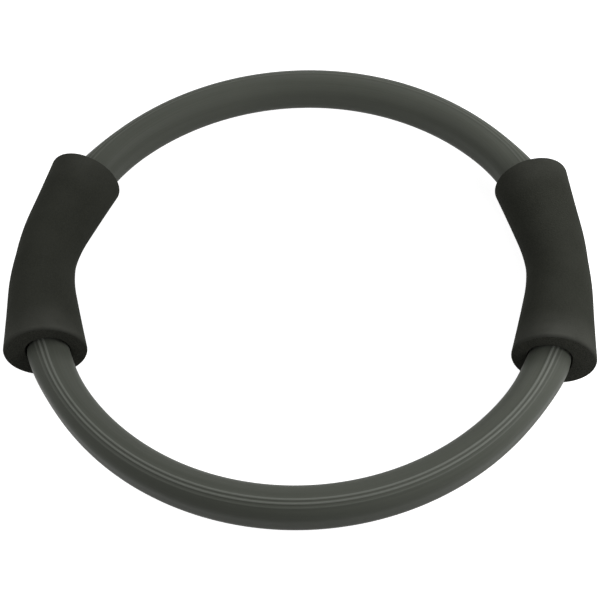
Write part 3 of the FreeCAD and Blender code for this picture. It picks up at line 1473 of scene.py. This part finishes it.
@dataclass(frozen=True)
class Studio:
    """A plain white floor and plain soft light.

    Attributes:
        softboxes: The lamps.
        sky: Strength of the even light from all round.
        floor_size: Length of the floor's sides.
        floor_white: Share of the light that the floor throws back.
        floor_lift: Brightness of its own that the floor has in the picture near the ring, where it is lit.
        lit_reach: Distances from the ring between which the floor's own brightness rises to white.
    """

    softboxes: tuple[Softbox, ...]
    sky: float = 0.01
    floor_size: float = 12.0
    floor_white: float = 0.50
    floor_lift: float = 0.86
    lit_reach: Pair = (0.4, 1.2)

    def seen(self, tree: NodeTree) -> Socket:
        """Tells the rays that see the background from those that light the object.

        Args:
            tree: Nodes of the floor or of the sky.

        Returns:
            One for camera, glossy and transmission rays, and zero for others.
        """
        path = tree.node("ShaderNodeLightPath", {})
        total = path.outputs["Is Camera Ray"]
        for ray in ("Is Glossy Ray", "Is Transmission Ray"):
            inputs = {0: total, 1: path.outputs[ray]}
            total = tree.node("ShaderNodeMath", inputs, operation="MAXIMUM").outputs[0]
        return total

    def show(self, tree: NodeTree, lighting: bpy.types.Node, looks: bpy.types.Node, output: str) -> None:
        """Gives the rays that see the background their own shader.

        Args:
            tree: Nodes of the floor or of the sky.
            lighting: Shader for the rays that light the object.
            looks: Shader for the rays that see the background.
            output: Name of the output node.
        """
        inputs = {0: self.seen(tree), 1: lighting.outputs[0], 2: looks.outputs[0]}
        mix = tree.node("ShaderNodeMixShader", inputs)
        tree.links.new(mix.outputs[0], tree.nodes[output].inputs["Surface"])

    def set_sky(self) -> None:
        """Makes the world white to look at, and an even soft light on the object."""
        world = bpy.data.worlds.new("studio_sky")
        bpy.context.scene.world = world
        tree = NodeTree(world)
        light = tree.nodes["Background"]
        light.inputs["Color"].default_value = WHITE
        light.inputs["Strength"].default_value = self.sky
        white = tree.node("ShaderNodeBackground", {"Color": WHITE, "Strength": 1.0})
        self.show(tree, light, white, "World Output")

    def floor_material(self) -> bpy.types.Material:
        """The white of the floor, which takes the shadow of the ring.

        Returns:
            A new material.
        """
        material = bpy.data.materials.new("white_floor")
        tree = NodeTree(material)
        tree.nodes.remove(tree.nodes["Principled BSDF"])
        matt = tree.node("ShaderNodeBsdfDiffuse", {"Color": opaque((self.floor_white,) * 3)})
        place = tree.node("ShaderNodeTexCoord", {}).outputs["Object"]
        away = tree.node("ShaderNodeVectorMath", {0: place}, operation="LENGTH").outputs["Value"]
        near, far = self.lit_reach
        reach = {"Value": away, "From Min": near, "From Max": far, "To Min": self.floor_lift}
        rise = tree.node("ShaderNodeMapRange", reach).outputs["Result"]
        lift = tree.node("ShaderNodeEmission", {"Strength": rise})
        lifted = tree.node("ShaderNodeAddShader", {0: matt.outputs[0], 1: lift.outputs[0]})
        self.show(tree, matt, lifted, "Material Output")
        return material

    def lay_floor(self) -> None:
        """Lays the floor that the ring stands on."""
        bm = bmesh.new()
        bmesh.ops.create_grid(bm, x_segments=1, y_segments=1, size=self.floor_size / 2)
        mesh = bpy.data.meshes.new("studio_floor")
        bm.to_mesh(mesh)
        bm.free()
        floor = bpy.data.objects.new("studio_floor", mesh)
        bpy.context.scene.collection.objects.link(floor)
        mesh.materials.append(self.floor_material())

    def build(self) -> None:
        """Sets the sky, the floor and the lamps."""
        bpy.context.scene.view_settings.view_transform = "Standard"
        self.set_sky()
        self.lay_floor()
        for softbox in self.softboxes:
            softbox.hang()
        LOG.info("set the studio with %d softboxes", len(self.softboxes))


@dataclass(frozen=True)
class CameraStand:
    """The camera, on a circle round what it looks at.

    Attributes:
        target: What the middle of the picture shows.
        azimuth: Degrees that the camera stands round to the right.
        elevation: Degrees that it stands above the floor.
        roll: Degrees that it leans.
        distance: Distance to the target.
        lens: Focal length in millimetres.
        sensor: Width of the sensor in millimetres.
    """

    target: Vector
    azimuth: float
    elevation: float
    roll: float
    distance: float
    lens: float
    sensor: float = 36.0

    def build(self) -> None:
        """Stands the camera in the scene."""
        azimuth = math.radians(self.azimuth)
        elevation = math.radians(self.elevation)
        roll = math.radians(self.roll)
        back = Vector(
            (
                math.sin(azimuth) * math.cos(elevation),
                -math.cos(azimuth) * math.cos(elevation),
                math.sin(elevation),
            )
        )
        level_right = Vector((math.cos(azimuth), math.sin(azimuth), 0))
        level_up = back.cross(level_right)
        right = level_right * math.cos(roll) - level_up * math.sin(roll)
        up = level_right * math.sin(roll) + level_up * math.cos(roll)
        turned = Matrix((right, up, back)).transposed().to_4x4()
        data = bpy.data.cameras.new("camera")
        data.lens = self.lens
        data.sensor_width = self.sensor
        camera = bpy.data.objects.new("camera", data)
        camera.matrix_world = Matrix.Translation(self.target + back * self.distance) @ turned
        bpy.context.scene.collection.objects.link(camera)
        bpy.context.scene.camera = camera


# The whole ring


@dataclass
class SqueezeRing:
    """The whole ring.

    Attributes:
        cover_width: Width of the hoop's section.
        cover_corner: Radius of its corners.
        cover_gap: Gap between the ends of the two covers.
        grip_length: Length of the grips.
        set_back: Degrees that the grips lie behind the ring's diameter.
        hoop_drop: How far the hoop lies below the middle of the grips.
        bore_side_gap: Gap at each side of the hoop in the bore.
        bore_top_gap: Gap above the hoop in the bore.
        bore_floor_gap: Gap below the hoop in the bore.
    """

    cover_width: float = 0.0229
    cover_corner: float = 0.0108
    cover_gap: float = 0.0006
    grip_length: float = 0.1464
    set_back: float = 2.35
    hoop_drop: float = 0.0029
    bore_side_gap: float = 0.0024
    bore_top_gap: float = 0.0036
    bore_floor_gap: float = 0.0008

    def __post_init__(self) -> None:
        """Takes the hoop's circle and section, and the squeeze, from the frame."""
        low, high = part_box("front_cover")
        self.section = Oblong(self.cover_width, high.z - low.z, self.cover_corner)
        self.line = HoopLine(high.x - self.cover_width / 2, (low.z + high.z) / 2)
        travel = max(joint["range_m"][1] for joint in frame["joints"])
        self.squeeze = Squeeze(travel, self.line.radius)
        back = math.radians(self.set_back)
        self.azimuths = {Side.LEFT: math.pi - back, Side.RIGHT: back}
        front_sweep = FULL_TURN + self.azimuths[Side.RIGHT] - self.azimuths[Side.LEFT]
        self.spans = {
            Half.FRONT: Span(self.azimuths[Side.LEFT], front_sweep),
            Half.REAR: Span(self.azimuths[Side.RIGHT], FULL_TURN - front_sweep),
        }

    def build_covers(self) -> None:
        """Makes the two halves of the cover."""
        finish = RubberFinish()
        swell = Swell(self.grip_length / 2)
        for half in Half:
            span = self.spans[half].trimmed(self.line.angle(self.cover_gap) / 2)
            cover = RibbedCover(half, self.line, self.section, span, swell, RIB_HEIGHTS[half])
            cover.build(finish, self.squeeze)

    def build_spring(self) -> None:
        """Makes the leaves and the tape that joins them, and dresses the plates and rivets of the frame."""
        splices = [Splice(side, self.azimuths[side], self.line, self.section) for side in Side]
        bm = bmesh.new()
        for splice in splices:
            splice.add_drills(bm)
        drill = finish_piece("rivet_drill", bm, [])
        glass = FibreglassFinish().material()
        for half in Half:
            for layer in Layer:
                SpringLeaf(half, layer, self.line, self.spans[half]).build(glass, self.squeeze, drill)
        bpy.data.objects.remove(drill)
        tape = TapeFinish().material()
        plate = PLATE_STEEL.material()
        rivet = RIVET_STEEL.material()
        for splice in splices:
            splice.build_band(tape, self.squeeze)
            splice.dress(plate, rivet)

    def build_grips(self) -> None:
        """Makes the two foam grips."""
        skin = FoamSkinFinish().material()
        cut = FoamCutFinish().material()
        bore = Oblong(
            self.section.width + 2 * self.bore_side_gap,
            self.section.height + self.bore_top_gap + self.bore_floor_gap,
            self.cover_corner + self.bore_side_gap,
        )
        level = self.line.level + self.hoop_drop
        bore_level = self.line.level + (self.bore_top_gap - self.bore_floor_gap) / 2
        for side, form in GRIP_FORMS.items():
            azimuth = self.azimuths[side]
            grip = FoamGrip(side, form, self.line, azimuth, level, bore, bore_level, self.grip_length)
            grip.build(skin, cut, self.squeeze)


def main() -> None:
    """Builds the ring, the studio and the camera."""
    logging.basicConfig(level=logging.INFO, format="%(name)s: %(message)s")
    ring = SqueezeRing()
    ring.build_covers()
    ring.build_spring()
    ring.build_grips()
    Studio(SOFTBOXES).build()
    CameraStand(
        target=Vector((0.00034, -0.02028, ring.line.level)),
        azimuth=5.32,
        elevation=53.79,
        roll=3.67,
        distance=0.8744,
        lens=81.49,
    ).build()


if __name__ == "__main__":
    main()
